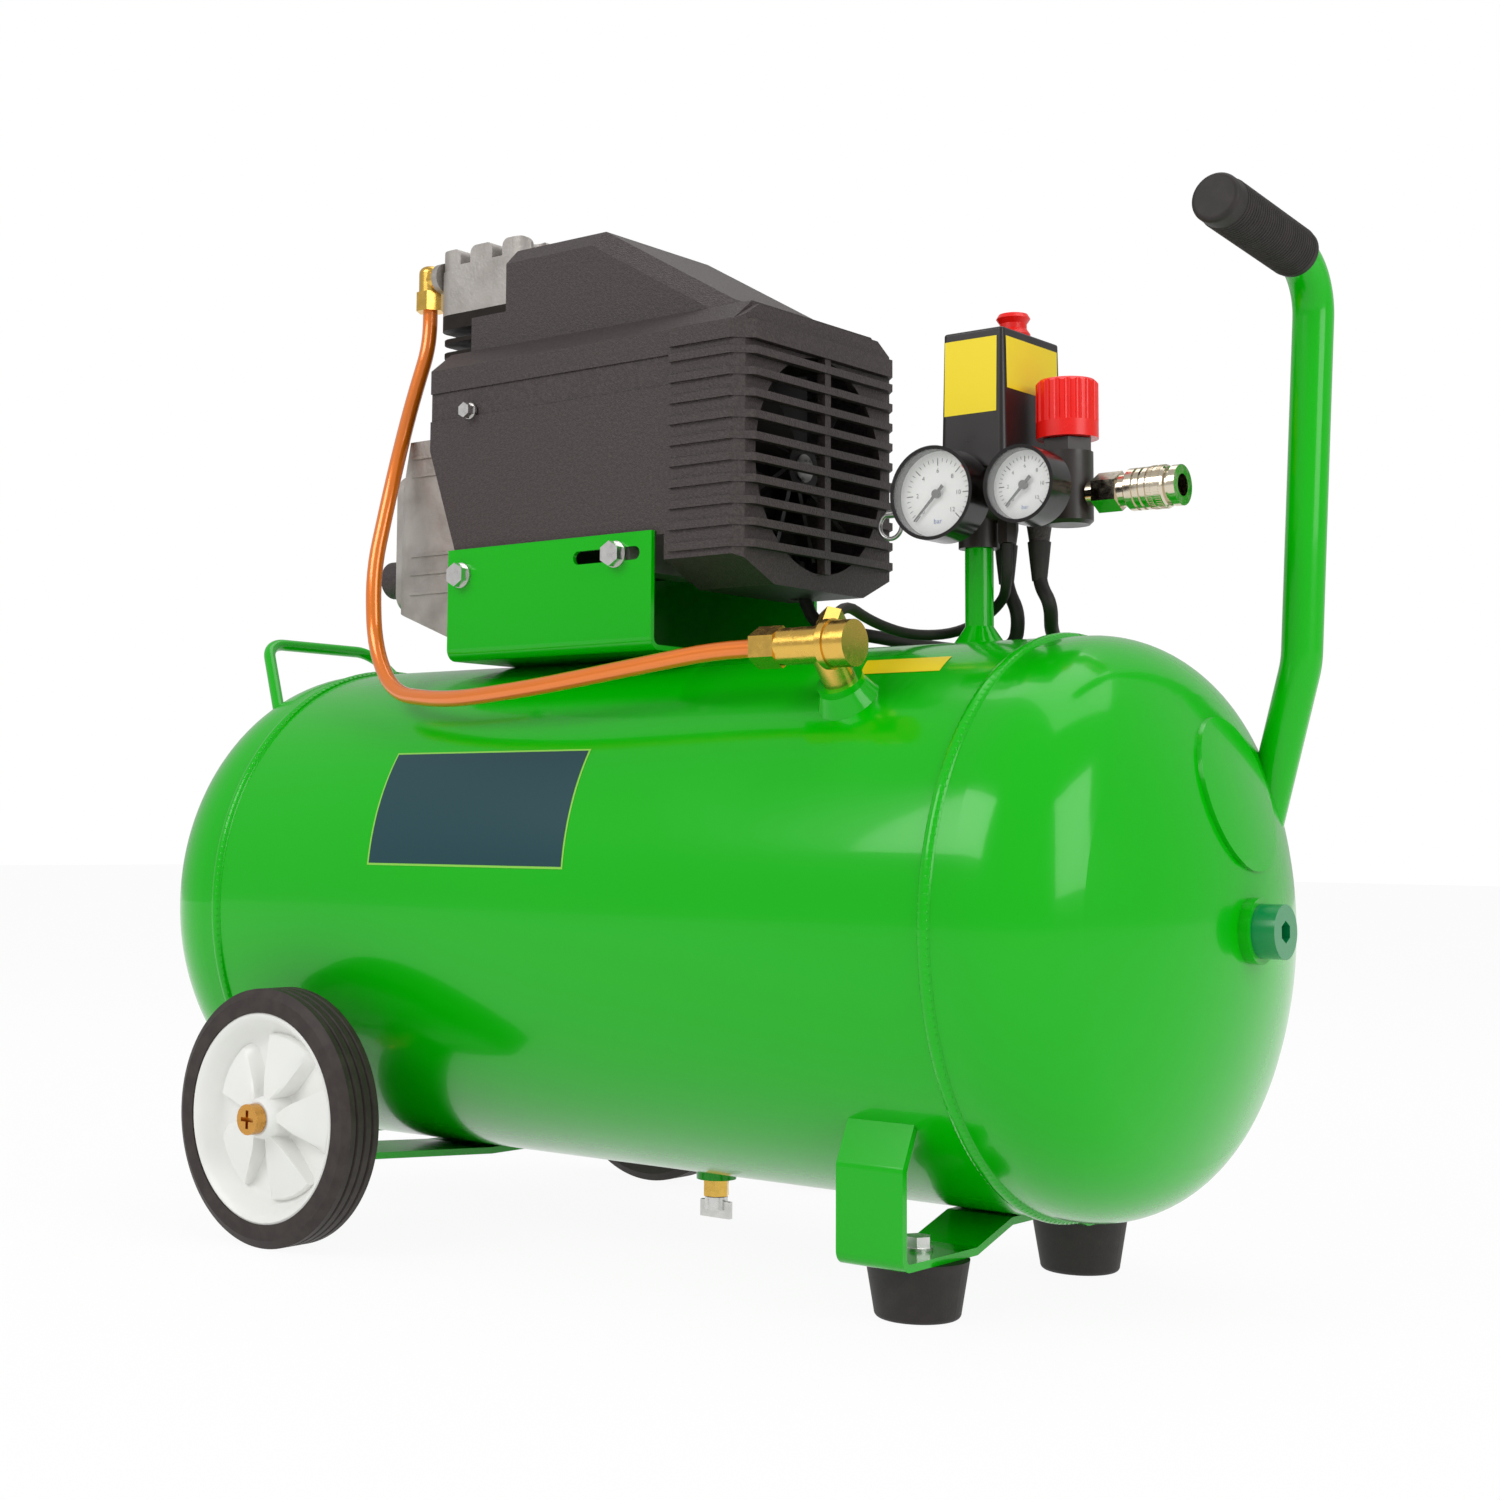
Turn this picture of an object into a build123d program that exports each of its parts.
"""Portable 50 litre piston air compressor: horizontal tank on two wheels and two rubber feet.

All lengths are millimetres. Pieces are drawn about the middle of the tank, with +X towards the
handle, -Y towards the gauges and the outlet, and the floor at z = 0. They are then moved along X
so that the origin lies under the middle of the whole machine.
"""
from build123d import *
from math import asin, cos, pi, radians, sin, sqrt, tan
import os

# ---------------------------------------------------------------- fits
RUN = 0.05           # radial clearance of a turning or sliding fit
GAP = 0.5            # free space between pieces that move past each other

# ---------------------------------------------------------------- tank
TANK_R = 155.0       # outer radius of the shell and of the heads' flanges
TANK_WALL = 2.5
TANK_Z = 200.0       # height of the tank's axis
SHELL_LENGTH = 529.0
FLANGE = 14.3        # straight flange of a dished head
KNUCKLE_R = 61.6
CROWN_R = 262.5
BEAD_R = 4.0         # radius of the weld bead's section
BEAD_SINK = 1.6      # depth of the bead's centre below the shell's surface
SEAM = SHELL_LENGTH / 2
CROWN_X = FLANGE - sqrt((CROWN_R - KNUCKLE_R) ** 2 - (TANK_R - KNUCKLE_R) ** 2)
POLE = SEAM + CROWN_X + CROWN_R

END_BUNG_R = 17.0
END_BUNG_OUT = 5.0
END_PLUG_THREAD_R = 10.5
END_PLUG_HEAD_R = 14.0
END_PLUG_HEAD = 12.5
END_PLUG_SOCKET = 10.0      # across the flats of its hexagon socket
PAD_R = 40.0                # round pad on the right head
PAD_Y, PAD_Z = 9.0, 270.0
PAD_THICK = 2.5
MACHINE_MIDDLE = (POLE + END_BUNG_OUT + END_PLUG_HEAD - POLE) / 2

# ---------------------------------------------------------------- wheels and feet
WHEEL_R = 76.0
WHEEL_X = -172.0
WHEEL_INNER_Y = 167.0
WHEEL_WIDTH = 28.0
TYRE_BORE_R = 62.0
TREAD_GROOVES = 3
GROOVE_WIDTH = 2.2
GROOVE_DEPTH = 2.0
HUB_R = 15.0
HUB_PROUD = 2.0
AXLE_R = 6.0
AXLE_HEAD_R = 9.0
AXLE_HEAD = 7.0
AXLE_NUT_AF = 19.0
AXLE_NUT = 9.0
BLADES = 6
STRIP = 4.0                 # thickness of both bent brackets
WHEEL_STRIP_WIDTH = 58.0
WHEEL_TAB_Y = 156.0         # middle of the upright tab that holds the axle
WHEEL_TAB_TOP = 94.0
WHEEL_STRIP_RISE = 9.0
FOOT_X = 217.0
FOOT_Y = 86.0
FOOT_HEIGHT = 30.0
FOOT_TOP_R = 27.0
FOOT_BASE_R = 22.5
FOOT_STRIP_WIDTH = 40.0
FOOT_LEG_Y = 129.0
FOOT_KNEE_Z = 80.0
FOOT_SCREW_R = 4.0

# ---------------------------------------------------------------- handle and lifting loop
HANDLE_R = 11.0
HANDLE_WALL = 1.5
HANDLE_Y = 80.0
HANDLE_PATH = [(334, 255), (357.6, 342.5), (369, 560)]    # x, z of the upright's middle line
HANDLE_END = (365.5, -34.0, 573.0)
HANDLE_FOOT_BEND = 60.0
HANDLE_TOP_BEND = 32.0
GRIP_R = 13.5
GRIP_LENGTH = 90.0
GRIP_END = 4.0
LOOP_WIRE_R = 4.0
LOOP_FOOT = (-292.0, 80.0, 320.0)
LOOP_TOP = (-342.0, 50.0, 377.0)
LOOP_BEND = 22.0

# ---------------------------------------------------------------- saddle that carries the pump
SADDLE_X0, SADDLE_X1 = -132.0, 34.0
SADDLE_INNER_Y = 81.0
SADDLE_PLATE = 3.0
SADDLE_BASE_Z = 353.5
SADDLE_TOP_Z = 423.5
BOLT_R = 4.0
BOLT_HEAD_AF = 13.0
BOLT_HEAD = 5.5
FLANGE_HEAD_R = 8.0
FLANGE_HEAD = 1.6
PUMP_BOLT = (-120.0, 407.0)         # x, z
MOTOR_BOLT = (7.0, 411.0)
SLOT_LENGTH = 52.0
SLOT_MIDDLE_X = -1.0

# ---------------------------------------------------------------- crank line
CRANK_Z = 466.0
CYL_X = -149.0
THROW = 19.0
SHAFT_R = 8.5
BEARING_R = 20.0
BEARING_WIDTH = 12.0
ROD_LENGTH = 84.0
ROD_WIDTH = 12.0
CRANKPIN_R = 9.0
WRIST_PIN_R = 6.0
WRIST_PIN_LENGTH = 40.0
BORE_R = 23.5
PISTON_SKIRT = 14.0
PISTON_CROWN = 19.8         # from the wrist pin up to the crown
CRANK_WEB_X0, CRANK_WEB_X1 = -137.0, -118.0
CASE_X0, CASE_X1 = -206.0, -95.0
CASE_HALF = 58.0
CASE_CORNER = 9.0
CASE_DECK = 503.0
CASE_BOTTOM = 369.0
CASE_LEFT_BOTTOM = 391.0
CASE_WALL = 7.0
CHAMBER_R = 36.0
CYL_TOP = 590.0
CYL_HALF = 41.0
CYL_CORNER = 12.0
CYL_SLEEVE_R = 28.5
FIN_PITCH = 9.0
FIN = 3.0
PLATE_TOP = 600.0
HEAD_BASE_TOP = 620.0
HEAD_TOP = 634.0
HEAD_RIB = 20.0
HEAD_RIB_PITCH = 29.0
BOSS = 3.0
STUD_DX, STUD_DY = 31.0, 26.0
STUD_R = 3.5
PORT_Y, PORT_Z = -33.0, 618.0
PORT_R = 3.0

# ---------------------------------------------------------------- motor
STATOR_R = 60.0
STATOR_X0, STATOR_X1 = -84.0, -16.0
ROTOR_R = 32.0
AIR_GAP = 0.4
SPIGOT_R0, SPIGOT_R1 = 56.0, 62.0
SHIELD_X0, SHIELD_X1 = -6.0, 2.0
SHIELD_HUB_X1 = 15.0
SHAFT_X0, SHAFT_X1 = -136.0, 84.0
FAN_X = 72.0
FAN_R = 57.0
FAN_BLADES = 9

# ---------------------------------------------------------------- shroud and fan guard
WALL = 2.5
SHROUD_X0, SHROUD_X1 = -154.0, 90.0
SHROUD_HALF = 80.0
SHROUD_LOW = 421.0
SHROUD_SHOULDER = 542.0
SHROUD_ROOF = 556.0
ROOF_HALF = 62.0
BLOCK_X0, BLOCK_X1, BLOCK_X2, BLOCK_X3, BLOCK_X4 = -136.0, -106.0, -31.0, 69.0, 78.0
BLOCK_STEP = 578.0
BLOCK_TOP = 619.5
BLOCK_BEVEL = 10.5
BELLY_X0 = 40.0
BELLY_SHOULDER = 406.0
BELLY_LOW = 391.0
BELLY_HALF = 46.0
SHROUD_SCREW = (-118.0, 512.0)
GROOVE_Z0, GROOVE_Z1 = 509.0, 527.0
GUARD_PLATE = 5.0
GUARD_FRONT = 100.0
GUARD_OPENING_R = 65.0
RIB_LOW_Z = 410.0
RIB_PITCH = 12.45
RIBS = 10
RIB_HEIGHT = 4.6
RIB_PROUD = 2.0
RIB_START_X = 44.0

# ---------------------------------------------------------------- delivery pipe and check valve
PIPE_R = 5.0
VALVE_X = 183.0
VALVE_TILT = 40.0           # angle of its bung from straight up, towards the front
VALVE_BUNG_R = 13.0
VALVE_BUNG_TOP = 168.0      # from the tank's axis
VALVE_CENTRE = 191.0        # from the tank's axis
ELBOW_X = -203.0
ELBOW_NUT_BOTTOM, ELBOW_NUT_TOP = 597.0, 610.0

# ---------------------------------------------------------------- air controls
RISER_X = 204.0
RISER_R = 8.0
RISER_WALL = 1.5
RISER_TOP = 416.0
AIR_Z = 433.0               # height of the manifold's axis
MANIFOLD_R = 11.0
MANIFOLD_X0, MANIFOLD_X1 = 192.0, 246.0
GAUGE_FACE_Y = -56.0
GAUGE_BACK_Y = -33.0
TANK_GAUGE_X, TANK_GAUGE_R = 207.0, 26.0
OUTLET_GAUGE_R = 21.0
REGULATOR_X = 260.0
REGULATOR_R = 14.0
KNOB_R = 17.0
KNOB_Z0, KNOB_Z1 = 464.5, 497.0
SWITCH_X0, SWITCH_X1 = 198.0, 239.0
SWITCH_Y0, SWITCH_Y1 = -32.0, 34.0
SWITCH_Z0, SWITCH_Z1 = 449.0, 526.0
SWITCH_DRAFT = 1.2
PULL_X, PULL_Y = 222.0, 8.0
PULL_R = 9.6
PULL_TOP = 541.0
GLANDS = [(208.0, 23.0), (231.0, 20.0)]
GLAND_BOTTOM = 411.0
UNLOADER_X = 222.0
COUPLER_X0 = 279.0
COUPLER_X1 = 328.0
COUPLER_BORE_R = 6.0
SLEEVE_R = 11.5
SLEEVE_X0, SLEEVE_X1 = 298.0, 321.0
SLEEVE_BORE_R = 9.0
COUPLER_DEPTH = 26.0
SWITCH_BASE = 3.0
KNOB_FLUTES = 18
BEZEL = 2.0
DIAL_Y = -48.0
VALVE_NUT_X0 = -42.0        # from the middle of the check valve
VALVE_NUT = 16.0
UNLOADER_PORT = (-0.249, 0.719, 0.649)
UNLOADER_NUT_START = 12.0
DELIVERY_ROUTE = [(-203, -33, 575), (-201, -52, 528), (-190, -77, 478), (-187, -97, 412), (-182, -99, 364),
                  (-152, -111, 332), (-95, -122, 325.5), (-20, -128, 330), (60, -125, 340)]

# ---------------------------------------------------------------- cords
CORD_R = 4.0
CORD_IN_GLAND = 9.0
CABLE_HOLE_R = 6.5
UNLOADER_R = 3.0
UNLOADER_ROUTE = [(222, 0, 386), (210, 18, 368), (182, 15, 361), (171, -16, 359), (168, -54, 364)]
MOTOR_CABLE_ROUTE = [(58, 30, 425), (58, 30, 374), (112, 30, 366), (150, 36, 357), (208, 23, 361)]
POWER_ROUTE = [(231, 20, 364), (222, 75, 352), (205, 125, 318), (185, 158, 270), (168, 171, 212),
               (158, 178, 155), (152, 190, 100), (146, 206, 50), (126, 228, 14), (88, 237, 4), (50, 237, 4)]
COIL_MIDDLE = (42.0, 290.0)
COIL_R0 = 53.0
COIL_PITCH = 9.0
COIL_TURN_IN = 2.0          # turns on the floor, wound inwards
COIL_RISE = 0.25            # part of a turn in which the cord climbs to the second layer
COIL_TURNS = 4.0
COIL_STEPS_PER_TURN = 4
TAIL_ROUTE = [(-13, 237, 19.5), (-36, 234.5, 19.5)]
TAIL_START = 23.0
PLUG_R = 19.0

DRAIN_X = 20.0


# ---------------------------------------------------------------- small helpers
def rod(start, end, radius):
    """Round bar between two points."""
    start, end = Vector(*start), Vector(*end)
    bar = Cylinder(radius, (end - start).length, align=(Align.CENTER, Align.CENTER, Align.MIN))
    return Plane(origin=start, z_dir=end - start) * bar


def hex_bar(start, end, across_flats):
    """Hexagonal bar between two points."""
    start, end = Vector(*start), Vector(*end)
    section = RegularPolygon(across_flats / 2, 6, major_radius=False)
    return extrude(Plane(origin=start, z_dir=end - start) * section, (end - start).length)


def taper(start, end, radius_start, radius_end):
    """Cone between two points."""
    start, end = Vector(*start), Vector(*end)
    cone = Cone(radius_start, radius_end, (end - start).length,
                align=(Align.CENTER, Align.CENTER, Align.MIN))
    return Plane(origin=start, z_dir=end - start) * cone


def block(x0, x1, y0, y1, z0, z1):
    """Box between two corners."""
    return Pos((x0 + x1) / 2, (y0 + y1) / 2, (z0 + z1) / 2) * Box(x1 - x0, y1 - y0, z1 - z0)


def prism_x(points, x0, x1):
    """Outline in y and z, drawn out along X."""
    return extrude(Plane.YZ.offset(x0) * make_face(Polyline(*points, close=True)), x1 - x0)


def prism_y(points, y0, y1):
    """Outline in x and z, drawn out along Y."""
    return extrude(Plane.XZ.offset(-y1) * make_face(Polyline(*points, close=True)), y1 - y0)


def prism_z(points, z0, z1):
    """Outline in x and y, drawn out along Z."""
    return extrude(Plane.XY.offset(z0) * make_face(Polyline(*points, close=True)), z1 - z0)


def both_sides(piece):
    """The piece and its mirror image across the machine's middle plane."""
    return piece + mirror(piece, Plane.XZ)


def bar_along(path, section):
    """Section swept along a path, square to its start."""
    start = Plane(origin=path @ 0, z_dir=path % 0)
    return sweep(start * section, path=path)


def strip_along(points, bend, width):
    """Flat strip bent along points in a plane of constant x."""
    path = FilletPolyline(*points, radius=bend)
    start = Plane(origin=path @ 0, x_dir=(1, 0, 0), z_dir=path % 0)
    return sweep(start * Rectangle(width, STRIP), path=path)


def flange_bolt(seat, direction, shank, radius=BOLT_R):
    """Hexagon bolt with a flanged head: seat is the face that the head bears on."""
    seat, direction = Vector(*seat), Vector(*direction)
    flange_top = seat - direction * FLANGE_HEAD
    head_top = flange_top - direction * BOLT_HEAD
    bolt = rod(seat, seat + direction * shank, radius)
    bolt += rod(seat, flange_top, FLANGE_HEAD_R * radius / BOLT_R)
    return bolt + hex_bar(flange_top, head_top, BOLT_HEAD_AF * radius / BOLT_R)


# ---------------------------------------------------------------- tank
def dished_solid(growth=0.0):
    """Filled dished end at the origin, opening towards -X, larger all round by growth."""
    radius, knuckle, crown = TANK_R + growth, KNUCKLE_R + growth, CROWN_R + growth
    lean = asin((TANK_R - KNUCKLE_R) / (CROWN_R - KNUCKLE_R))
    join = (CROWN_X + crown * cos(lean), crown * sin(lean))
    half_knuckle = (pi / 2 + lean) / 2
    half_crown = lean / 2
    knuckle_middle = (FLANGE + knuckle * cos(half_knuckle), radius - knuckle + knuckle * sin(half_knuckle))
    crown_middle = (CROWN_X + crown * cos(half_crown), crown * sin(half_crown))
    pole = (CROWN_X + crown, 0)
    outline = [
        Line((0, 0), (0, radius)),
        Line((0, radius), (FLANGE, radius)),
        ThreePointArc((FLANGE, radius), knuckle_middle, join),
        ThreePointArc(join, crown_middle, pole),
        Line(pole, (0, 0)),
    ]
    return revolve(make_face(outline), Axis.X)


def right_head_solid(growth=0.0):
    return Pos(SEAM, 0, TANK_Z) * dished_solid(growth)


def left_head_solid(growth=0.0):
    return Pos(-SEAM, 0, TANK_Z) * Rot(0, 0, 180) * dished_solid(growth)


def tank_cylinder(radius=TANK_R):
    return rod((-SEAM, 0, TANK_Z), (SEAM, 0, TANK_Z), radius)


def valve_axis(distance):
    """Point on the check valve's tilted axis, at a distance from the tank's axis."""
    lean = radians(VALVE_TILT)
    return (VALVE_X, -distance * sin(lean), TANK_Z + distance * cos(lean))


def valve_bung_bar(radius):
    return rod(valve_axis(TANK_R - 2 * TANK_WALL), valve_axis(VALVE_BUNG_TOP), radius)


def tank_shell():
    shell = tank_cylinder() - tank_cylinder(TANK_R - TANK_WALL)
    bead = Rot(0, 90, 0) * Torus(TANK_R - BEAD_SINK, BEAD_R)
    ring = rod((-4 * BEAD_R, 0, 0), (4 * BEAD_R, 0, 0), TANK_R)
    bead = bead - ring
    for seam in (-SEAM, SEAM):
        shell += Pos(seam, 0, TANK_Z) * bead
    shell -= valve_bung_bar(VALVE_BUNG_R)
    shell -= rod((RISER_X, 0, TANK_Z), (RISER_X, 0, RISER_TOP), RISER_R)
    return shell - rod((DRAIN_X, 0, 0), (DRAIN_X, 0, TANK_Z), VALVE_BUNG_R)


def tank_head_right():
    head = right_head_solid() - right_head_solid(-TANK_WALL)
    return head - rod((SEAM, 0, TANK_Z), (POLE + END_BUNG_OUT, 0, TANK_Z), END_BUNG_R)


def tank_head_left():
    return left_head_solid() - left_head_solid(-TANK_WALL)


def tank_weldments():
    """Bungs, the round pad and the riser pipe, all welded to the tank."""
    end_bung = rod((POLE - 8, 0, TANK_Z), (POLE + END_BUNG_OUT, 0, TANK_Z), END_BUNG_R)
    end_bung -= rod((POLE - 8, 0, TANK_Z), (POLE + END_BUNG_OUT, 0, TANK_Z), END_PLUG_THREAD_R)
    pad = right_head_solid(PAD_THICK) & rod((SEAM, PAD_Y, PAD_Z), (POLE, PAD_Y, PAD_Z), PAD_R)
    pad -= right_head_solid()
    weld = taper(valve_axis(TANK_R - 4), valve_axis(VALVE_BUNG_TOP - 4), VALVE_BUNG_R + 6, VALVE_BUNG_R)
    valve_bung = valve_bung_bar(VALVE_BUNG_R) + (weld - tank_cylinder())
    valve_bung -= valve_bung_bar(8.0)
    drain_bung = rod((DRAIN_X, 0, 40), (DRAIN_X, 0, 49), VALVE_BUNG_R - 1)
    drain_bung -= rod((DRAIN_X, 0, 40), (DRAIN_X, 0, 49), 5.0)
    tank_top = TANK_Z + TANK_R
    riser = rod((RISER_X, 0, tank_top - 4), (RISER_X, 0, RISER_TOP), RISER_R)
    fillet = taper((RISER_X, 0, tank_top - 3), (RISER_X, 0, tank_top + 9), RISER_R + 8, RISER_R)
    riser += fillet - tank_cylinder()
    riser -= rod((RISER_X, 0, tank_top - 4), (RISER_X, 0, RISER_TOP), RISER_R - RISER_WALL)
    return [end_bung, pad, valve_bung, drain_bung, riser]


def end_plug():
    face = POLE + END_BUNG_OUT
    plug = rod((face - 12, 0, TANK_Z), (face, 0, TANK_Z), END_PLUG_THREAD_R)
    plug += rod((face, 0, TANK_Z), (face + END_PLUG_HEAD, 0, TANK_Z), END_PLUG_HEAD_R)
    return plug - hex_bar((face + 4, 0, TANK_Z), (face + END_PLUG_HEAD, 0, TANK_Z), END_PLUG_SOCKET)


def drain_cock():
    body = hex_bar((DRAIN_X, 0, 30), (DRAIN_X, 0, 40), 14)
    body += rod((DRAIN_X, 0, 40), (DRAIN_X, 0, 48), 5.0)
    return body - rod((DRAIN_X, 0, 30), (DRAIN_X, 0, 42), 2.5 + RUN)


def drain_knob():
    knob = rod((DRAIN_X, 0, 22), (DRAIN_X, 0, 30 - GAP), 7.0)
    knob += rod((DRAIN_X, 0, 24), (DRAIN_X, 0, 41), 2.5)
    return knob + block(DRAIN_X - 11, DRAIN_X + 11, -1.5, 1.5, 17, 27)


# ---------------------------------------------------------------- wheels, feet and brackets
def wheel_bracket():
    low = TANK_Z - TANK_R - STRIP / 2
    high = low + WHEEL_STRIP_RISE
    half = [(0, 0, low), (0, -24, low), (0, -WHEEL_TAB_Y, high), (0, -WHEEL_TAB_Y, WHEEL_TAB_TOP)]
    other = [(x, -y, z) for x, y, z in half[:0:-1]]
    strip = Pos(WHEEL_X, 0, 0) * strip_along(other + half[1:], 6, WHEEL_STRIP_WIDTH)
    strip -= tank_cylinder()
    return strip - rod((WHEEL_X, -200, WHEEL_R), (WHEEL_X, 200, WHEEL_R), AXLE_R)


def tyre(side):
    """Solid rubber tyre with round grooves in its tread; side is -1 at the front."""
    inner, outer = WHEEL_INNER_Y, WHEEL_INNER_Y + WHEEL_WIDTH
    shoulder = 5.0
    outline = [(inner, TYRE_BORE_R), (inner, WHEEL_R - shoulder), (inner + 0.6 * shoulder, WHEEL_R)]
    for groove in range(TREAD_GROOVES):
        middle = inner + WHEEL_WIDTH * (0.28 + 0.22 * groove)
        outline += [(middle - GROOVE_WIDTH / 2, WHEEL_R), (middle, WHEEL_R - GROOVE_DEPTH),
                    (middle + GROOVE_WIDTH / 2, WHEEL_R)]
    outline += [(outer - 0.6 * shoulder, WHEEL_R), (outer, WHEEL_R - shoulder), (outer, TYRE_BORE_R)]
    section = make_face(Polyline(*outline, close=True))
    ring = Rot(0, 0, 90) * revolve(section, Axis.X)
    return wheel_place(ring, side)


def wheel_place(ring, side):
    """Put a wheel piece, drawn on the Y axis at positive y, on its own side."""
    if side < 0:
        ring = mirror(ring, Plane.XZ)
    return Pos(WHEEL_X, 0, WHEEL_R) * ring


def rim(side):
    """Moulded rim: barrel, sloped outer dish, six blades and a hub."""
    inner, outer = WHEEL_INNER_Y, WHEEL_INNER_Y + WHEEL_WIDTH
    dish_r, dish_y, web = 47.0, outer - 9, 6.0
    barrel = [(inner + 1, TYRE_BORE_R), (outer - 1, TYRE_BORE_R), (outer - 1, TYRE_BORE_R - 3),
              (dish_y, dish_r), (dish_y, HUB_R), (outer + HUB_PROUD, HUB_R - 2),
              (outer + HUB_PROUD, AXLE_R + RUN), (inner - 1, AXLE_R + RUN), (inner - 1, HUB_R),
              (inner + 5, HUB_R), (inner + 5, TYRE_BORE_R - 5), (inner + 1, TYRE_BORE_R - 3)]
    body = Rot(0, 0, 90) * revolve(make_face(Polyline(*barrel, close=True)), Axis.X)
    r0, r1, half_angle = HUB_R + 5, dish_r - 1, 12.0
    narrow, wide = 1.2 * half_angle, half_angle
    corners = []
    for radius, angle in ((r0, -narrow), (r1, -wide), (r1, wide), (r0, narrow)):
        turn = radians(90 + angle)
        corners.append((radius * cos(turn), radius * sin(turn)))
    pocket = prism_y(corners, inner + web, outer)
    for spoke in range(BLADES):
        body -= Rot(0, 360 * (spoke + 0.5) / BLADES, 0) * pocket
    return wheel_place(body, side)


def axle_bolts():
    """Two shouldered axle bolts with slotted-cross heads, each with a nut behind its tab."""
    tab_back = WHEEL_TAB_Y - STRIP / 2
    hub_face = WHEEL_INNER_Y + WHEEL_WIDTH + HUB_PROUD + GAP
    bolt = rod((0, tab_back - AXLE_NUT - 4, 0), (0, hub_face, 0), AXLE_R)
    bolt += rod((0, hub_face, 0), (0, hub_face + AXLE_HEAD, 0), AXLE_HEAD_R)
    for turn in (0, 90):
        slot = block(-AXLE_HEAD_R * 0.6, AXLE_HEAD_R * 0.6, hub_face + 3.5, hub_face + AXLE_HEAD, -1.2, 1.2)
        bolt -= Rot(0, turn, 0) * slot
    nut = hex_bar((0, tab_back - AXLE_NUT, 0), (0, tab_back, 0), AXLE_NUT_AF)
    spacer_front = WHEEL_INNER_Y - 1 - GAP
    spacer = rod((0, WHEEL_TAB_Y + STRIP / 2, 0), (0, spacer_front, 0), AXLE_R + 4)
    return both_sides(Pos(WHEEL_X, 0, WHEEL_R) * (bolt + nut + spacer))


def foot_bracket():
    low = FOOT_HEIGHT + STRIP / 2
    tank_bottom = TANK_Z - TANK_R - STRIP / 2
    half = [(0, -24, tank_bottom), (0, -60, low), (0, -FOOT_LEG_Y, low),
            (0, -FOOT_LEG_Y, FOOT_KNEE_Z), (0, -FOOT_LEG_Y + 13, FOOT_KNEE_Z + 26)]
    other = [(x, -y, z) for x, y, z in half[::-1]]
    strip = Pos(FOOT_X, 0, 0) * strip_along(other + half, 5, FOOT_STRIP_WIDTH)
    strip -= tank_cylinder()
    for y in (-FOOT_Y, FOOT_Y):
        strip -= rod((FOOT_X, y, 0), (FOOT_X, y, low + STRIP), FOOT_SCREW_R)
    return strip


def rubber_feet():
    """Two tapered rubber feet, each with a moulded hole for its screw."""
    outline = [Line((0, 0), (FOOT_BASE_R - 3, 0)),
               ThreePointArc((FOOT_BASE_R - 3, 0), (FOOT_BASE_R - 0.9, 0.9), (FOOT_BASE_R, 3)),
               Line((FOOT_BASE_R, 3), (FOOT_TOP_R, FOOT_HEIGHT)),
               Line((FOOT_TOP_R, FOOT_HEIGHT), (0, FOOT_HEIGHT)),
               Line((0, FOOT_HEIGHT), (0, 0))]
    foot = revolve(Plane.XZ * make_face(outline), Axis.Z)
    foot -= rod((0, 0, 8), (0, 0, FOOT_HEIGHT), FOOT_SCREW_R)
    return [Pos(FOOT_X, y, 0) * foot for y in (-FOOT_Y, FOOT_Y)]


# ---------------------------------------------------------------- handle and lifting loop
def handle_path():
    foot, knee, top = HANDLE_PATH
    points = [(x, HANDLE_Y, z) for x, z in (foot, knee, top)] + [HANDLE_END]
    return FilletPolyline(*points, radius=[HANDLE_FOOT_BEND, HANDLE_TOP_BEND])


def handle_tube():
    path = handle_path()
    tube = bar_along(path, Circle(HANDLE_R)) - bar_along(path, Circle(HANDLE_R - HANDLE_WALL))
    return tube - right_head_solid()


def handle_grip():
    """Rubber sleeve with a closed, rounded end."""
    end = Vector(*HANDLE_END)
    top = Vector(HANDLE_PATH[-1][0], HANDLE_Y, HANDLE_PATH[-1][1])
    back = (top - end).normalized()
    cap = end - back * GRIP_END
    grip = rod(cap, end + back * GRIP_LENGTH, GRIP_R)
    grip = fillet(grip.faces().filter_by(GeomType.PLANE).sort_by_distance(cap)[0].edges(), 3.0)
    return grip - rod(end, end + back * (GRIP_LENGTH + 1), HANDLE_R)


def lifting_loop():
    foot, top = LOOP_FOOT, LOOP_TOP
    points = [(foot[0], -foot[1], foot[2]), (top[0], -top[1], top[2]), top, foot]
    wire = bar_along(FilletPolyline(*points, radius=LOOP_BEND), Circle(LOOP_WIRE_R))
    return wire - left_head_solid() - tank_cylinder()


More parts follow.
